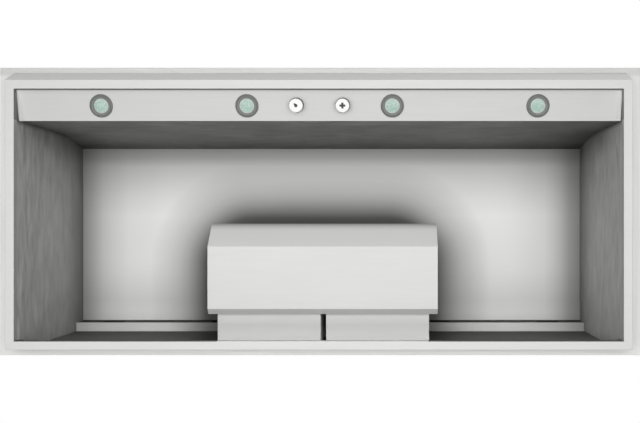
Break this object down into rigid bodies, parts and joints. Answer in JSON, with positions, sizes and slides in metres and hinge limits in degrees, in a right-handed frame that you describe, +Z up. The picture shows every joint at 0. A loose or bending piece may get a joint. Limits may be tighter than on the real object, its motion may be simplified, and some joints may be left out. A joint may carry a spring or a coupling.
{
  "type": "wall mount range hood",
  "caption": "Wide wall mount range hood with a rim frame, slanted lamp panel, side-by-side blowers, a sliding grease tray and round duct collars.",
  "frame": {"origin": "middle of the row of wall fixing holes, on the back face of the hood that lies on the wall", "axes": "+X along the wall to the right as seen from the room, +Y into the wall, +Z up"},
  "size_m": [1.524, 0.683, 0.5051],
  "materials": {
    "shell_steel": "brushed, light",
    "ceiling_steel": "satin",
    "rim_steel": "satin, light",
    "liner_steel": "brushed, fine grain",
    "rail_steel": "satin",
    "panel_steel": "satin",
    "bezel_grey": "satin grey paint",
    "lens_glass": "frosted, faintly green",
    "can_steel": "zinc plated",
    "knob_white": "white",
    "mark_black": "black print",
    "switch_plastic": "dark grey",
    "casing_steel": "satin",
    "tray_steel": "satin, light",
    "galvanised_steel": "galvanised",
    "wheel_steel": "galvanised",
    "motor_paint": "dark grey paint",
    "shaft_steel": "ground",
    "flap_aluminium": "mill finish",
    "gland_plastic": "black",
    "screw_zinc": "zinc plated"
  },
  "bodies": {
    "hood": {"back_panel": "shell_steel", "side_panel_left": "shell_steel", "side_panel_right": "shell_steel", "front_fascia": "shell_steel", "front_panel": "shell_steel", "top_panel": "ceiling_steel", "rim_front": "rim_steel", "rim_rear": "rim_steel", "rim_left": "rim_steel", "rim_right": "rim_steel", "liner_front": "liner_steel", "liner_rear": "liner_steel", "liner_left": "liner_steel", "liner_right": "liner_steel", "wall_rail": "rail_steel", "rail_floor": "rail_steel", "rail_front": "rail_steel", "light_panel": "panel_steel", "lamp_bezel_1": "bezel_grey", "lamp_bezel_2": "bezel_grey", "lamp_bezel_3": "bezel_grey", "lamp_bezel_4": "bezel_grey", "lamp_lens_1": "lens_glass", "lamp_lens_2": "lens_glass", "lamp_lens_3": "lens_glass", "lamp_lens_4": "lens_glass", "lamp_can_1": "can_steel", "lamp_can_2": "can_steel", "lamp_can_3": "can_steel", "lamp_can_4": "can_steel", "fan_switch": "switch_plastic", "light_switch": "switch_plastic", "blower_box_left": "casing_steel", "blower_box_right": "casing_steel", "scroll_left": "galvanised_steel", "scroll_right": "galvanised_steel", "inlet_ring_left": "galvanised_steel", "inlet_ring_right": "galvanised_steel", "motor_bracket_left": "galvanised_steel", "motor_bracket_right": "galvanised_steel", "tray_rail_left": "galvanised_steel", "tray_rail_right": "galvanised_steel", "duct_collar_left": "galvanised_steel", "duct_collar_right": "galvanised_steel", "junction_box": "galvanised_steel", "motor_left": "motor_paint", "motor_right": "motor_paint", "cable_gland": "gland_plastic", "collar_screws": "screw_zinc"},
    "fan_knob_group": {"fan_knob": "knob_white", "fan_knob_mark": "mark_black"},
    "light_knob_group": {"light_knob": "knob_white", "light_knob_mark": "mark_black"},
    "left_wheel": {"fan_wheel_left": "wheel_steel", "motor_shaft_left": "shaft_steel"},
    "right_wheel": {"fan_wheel_right": "wheel_steel", "motor_shaft_right": "shaft_steel"},
    "left_flap": {"damper_left": "flap_aluminium"},
    "right_flap": {"damper_right": "flap_aluminium"},
    "tray": {"grease_tray": "tray_steel"}
  },
  "joints": [
    {"name": "fan_knob_turn", "type": "hinge", "parent": "hood", "child": "fan_knob_group", "pos_m": [-0.0542, -0.59025, -0.40425], "axis": [0, -0.2155, 0.9765], "range_deg": [0, 270]},
    {"name": "light_knob_turn", "type": "hinge", "parent": "hood", "child": "light_knob_group", "pos_m": [0.0542, -0.59025, -0.40425], "axis": [0, -0.2155, 0.9765], "range_deg": [0, 270]},
    {"name": "fan_left_spin", "type": "hinge", "parent": "hood", "child": "left_wheel", "pos_m": [-0.175, -0.186, -0.13825], "axis": [1, 0, 0], "continuous": true},
    {"name": "fan_right_spin", "type": "hinge", "parent": "hood", "child": "right_wheel", "pos_m": [0.175, -0.186, -0.13825], "axis": [1, 0, 0], "continuous": true},
    {"name": "damper_left_swing", "type": "hinge", "parent": "hood", "child": "left_flap", "pos_m": [-0.1721, -0.07542, 0.03295], "axis": [-1, 0, 0], "range_deg": [0, 75]},
    {"name": "damper_right_swing", "type": "hinge", "parent": "hood", "child": "right_flap", "pos_m": [0.1721, -0.07542, 0.03295], "axis": [-1, 0, 0], "range_deg": [0, 75]},
    {"name": "tray_slide", "type": "slide", "parent": "hood", "child": "tray", "axis": [0, -1, 0], "range_m": [0, 0.18]}
  ]
}
